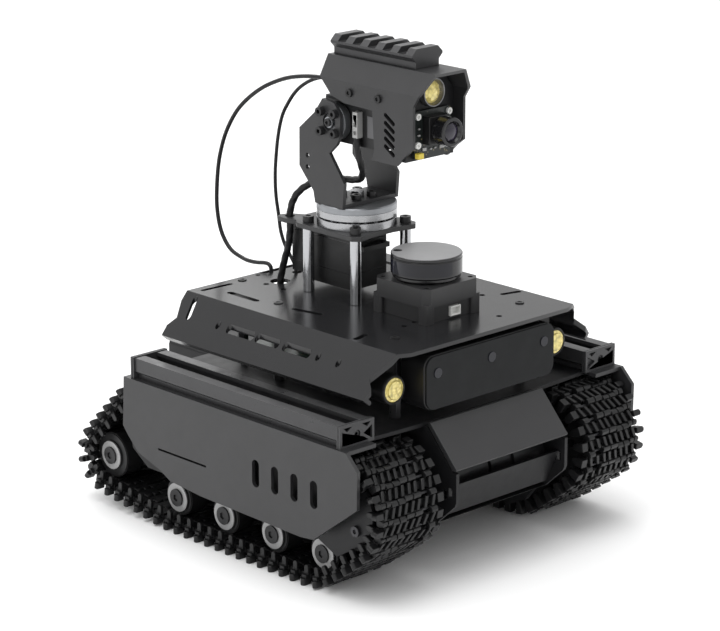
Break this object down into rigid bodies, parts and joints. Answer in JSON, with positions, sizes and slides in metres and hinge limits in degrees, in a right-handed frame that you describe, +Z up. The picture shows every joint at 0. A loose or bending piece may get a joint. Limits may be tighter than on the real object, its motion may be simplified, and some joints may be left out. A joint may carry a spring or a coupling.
{
  "type": "tracked robot chassis",
  "caption": "Tracked robot with a black sheet-metal hull, top deck, spinning range finder, depth camera, head lamps and a pan and tilt camera head on a mast.",
  "frame": {"origin": "on the ground at the middle of the whole robot's footprint box, under the mast", "axes": "-Y towards the front of the robot, where the depth camera looks, +X across its width, +Z up"},
  "size_m": [0.197, 0.2293, 0.252],
  "materials": {
    "black_sheet_metal": "satin",
    "black_plastic": "matte",
    "gloss_black": "gloss",
    "track_plastic": "satin",
    "bright_steel": "polished",
    "aluminium": "satin",
    "dark_screw": "satin",
    "washer_grey": "satin",
    "cable_jacket": "matte",
    "white_plastic": "gloss",
    "board_green": "satin",
    "lamp_amber": "gloss",
    "dark_glass": "gloss",
    "battery_blue": "satin"
  },
  "bodies": {
    "chassis": {"hull_tub": "black_sheet_metal", "nose_plate": "black_sheet_metal", "hull_end_plates": "black_sheet_metal", "fender_plate": "black_sheet_metal", "side_panels": "black_sheet_metal", "track_frame_plates": "black_sheet_metal", "drive_bearings": "aluminium", "wheel_axles": "dark_screw", "axle_washers": "washer_grey", "track_links": "track_plastic", "track_pins": "bright_steel", "side_rails": "aluminium", "rail_end_caps": "black_plastic", "top_deck": "black_sheet_metal", "standoffs": "bright_steel", "chassis_screws": "dark_screw", "depth_camera_body": "black_sheet_metal", "depth_camera_window": "dark_glass", "headlamps": "lamp_amber", "lidar_base": "black_plastic", "mast_posts": "bright_steel", "mast_plate": "black_sheet_metal", "pan_servo": "black_plastic", "bearing_lower_ring": "bright_steel", "gear_motors": "aluminium", "battery_pack": "battery_blue", "circuit_boards": "board_green", "head_cables_lower": "cable_jacket", "servo_lead_lower": "cable_jacket"},
    "drive_left": {"sprocket_left": "dark_screw"},
    "road_left_1": {"road_wheel_left_1": "black_plastic"},
    "road_left_2": {"road_wheel_left_2": "black_plastic"},
    "road_left_3": {"road_wheel_left_3": "black_plastic"},
    "road_left_4": {"road_wheel_left_4": "black_plastic"},
    "rear_idler_left": {"idler_left": "black_plastic"},
    "roller_left": {"return_roller_left": "black_plastic"},
    "drive_right": {"sprocket_right": "dark_screw"},
    "road_right_1": {"road_wheel_right_1": "black_plastic"},
    "road_right_2": {"road_wheel_right_2": "black_plastic"},
    "road_right_3": {"road_wheel_right_3": "black_plastic"},
    "road_right_4": {"road_wheel_right_4": "black_plastic"},
    "rear_idler_right": {"idler_right": "black_plastic"},
    "roller_right": {"return_roller_right": "black_plastic"},
    "pan_base": {"pan_turntable": "aluminium", "bearing_upper_ring": "bright_steel", "pan_bracket": "black_sheet_metal", "bracket_screws": "dark_screw", "servo_horns": "aluminium", "head_cables_upper": "cable_jacket", "servo_lead_upper": "cable_jacket"},
    "camera_head": {"tilt_servo": "black_plastic", "head_shell": "black_sheet_metal", "head_frame": "black_sheet_metal", "accessory_rail": "black_sheet_metal", "camera_board": "board_green", "camera_lens": "gloss_black", "spotlight": "lamp_amber", "head_screws": "dark_screw"},
    "range_finder": {"lidar_head": "gloss_black"},
    "rocker": {"power_switch": "gloss_black"}
  },
  "joints": [
    {"name": "left_drive", "type": "hinge", "parent": "chassis", "child": "drive_left", "pos_m": [-0.071, -0.086, 0.045], "axis": [1, 0, 0], "continuous": true},
    {"name": "left_road_wheel_1_turn", "type": "hinge", "parent": "chassis", "child": "road_left_1", "pos_m": [-0.071, -0.0676, 0.016], "axis": [1, 0, 0], "continuous": true},
    {"name": "left_road_wheel_2_turn", "type": "hinge", "parent": "chassis", "child": "road_left_2", "pos_m": [-0.071, -0.0309, 0.016], "axis": [1, 0, 0], "continuous": true},
    {"name": "left_road_wheel_3_turn", "type": "hinge", "parent": "chassis", "child": "road_left_3", "pos_m": [-0.071, 0.0058, 0.016], "axis": [1, 0, 0], "continuous": true},
    {"name": "left_road_wheel_4_turn", "type": "hinge", "parent": "chassis", "child": "road_left_4", "pos_m": [-0.071, 0.0425, 0.016], "axis": [1, 0, 0], "continuous": true},
    {"name": "left_idler_turn", "type": "hinge", "parent": "chassis", "child": "rear_idler_left", "pos_m": [-0.071, 0.0964, 0.0254], "axis": [1, 0, 0], "continuous": true},
    {"name": "left_roller_turn", "type": "hinge", "parent": "chassis", "child": "roller_left", "pos_m": [-0.071, 0.0672, 0.0598], "axis": [1, 0, 0], "continuous": true},
    {"name": "right_drive", "type": "hinge", "parent": "chassis", "child": "drive_right", "pos_m": [0.071, -0.086, 0.045], "axis": [1, 0, 0], "continuous": true},
    {"name": "right_road_wheel_1_turn", "type": "hinge", "parent": "chassis", "child": "road_right_1", "pos_m": [0.071, -0.0676, 0.016], "axis": [1, 0, 0], "continuous": true},
    {"name": "right_road_wheel_2_turn", "type": "hinge", "parent": "chassis", "child": "road_right_2", "pos_m": [0.071, -0.0309, 0.016], "axis": [1, 0, 0], "continuous": true},
    {"name": "right_road_wheel_3_turn", "type": "hinge", "parent": "chassis", "child": "road_right_3", "pos_m": [0.071, 0.0058, 0.016], "axis": [1, 0, 0], "continuous": true},
    {"name": "right_road_wheel_4_turn", "type": "hinge", "parent": "chassis", "child": "road_right_4", "pos_m": [0.071, 0.0425, 0.016], "axis": [1, 0, 0], "continuous": true},
    {"name": "right_idler_turn", "type": "hinge", "parent": "chassis", "child": "rear_idler_right", "pos_m": [0.071, 0.0964, 0.0254], "axis": [1, 0, 0], "continuous": true},
    {"name": "right_roller_turn", "type": "hinge", "parent": "chassis", "child": "roller_right", "pos_m": [0.071, 0.0672, 0.0598], "axis": [1, 0, 0], "continuous": true},
    {"name": "pan", "type": "hinge", "parent": "chassis", "child": "pan_base", "pos_m": [0, -0.00065, 0.16], "axis": [0, 0, 1], "range_deg": [-90, 90], "deforming": ["head_cables_lower", "servo_lead_lower"]},
    {"name": "tilt", "type": "hinge", "parent": "pan_base", "child": "camera_head", "pos_m": [0, -0.0013, 0.2097], "axis": [1, 0, 0], "range_deg": [-60, 35], "deforming": ["head_cables_upper", "servo_lead_upper"]},
    {"name": "range_finder_spin", "type": "hinge", "parent": "chassis", "child": "range_finder", "pos_m": [0, -0.0512, 0.14], "axis": [0, 0, 1], "continuous": true},
    {"name": "power_rocker", "type": "hinge", "parent": "chassis", "child": "rocker", "pos_m": [0.022, 0.103, 0.06], "axis": [1, 0, 0], "range_deg": [-20, 0]}
  ],
  "couplings": [
    {"joint": "left_road_wheel_1_turn", "follows": "left_drive", "ratio": 2.324},
    {"joint": "left_road_wheel_2_turn", "follows": "left_drive", "ratio": 2.324},
    {"joint": "left_road_wheel_3_turn", "follows": "left_drive", "ratio": 2.324},
    {"joint": "left_road_wheel_4_turn", "follows": "left_drive", "ratio": 2.324},
    {"joint": "left_idler_turn", "follows": "left_drive", "ratio": 1.731},
    {"joint": "left_roller_turn", "follows": "left_drive", "ratio": 2.437},
    {"joint": "right_road_wheel_1_turn", "follows": "right_drive", "ratio": 2.324},
    {"joint": "right_road_wheel_2_turn", "follows": "right_drive", "ratio": 2.324},
    {"joint": "right_road_wheel_3_turn", "follows": "right_drive", "ratio": 2.324},
    {"joint": "right_road_wheel_4_turn", "follows": "right_drive", "ratio": 2.324},
    {"joint": "right_idler_turn", "follows": "right_drive", "ratio": 1.731},
    {"joint": "right_roller_turn", "follows": "right_drive", "ratio": 2.437}
  ]
}
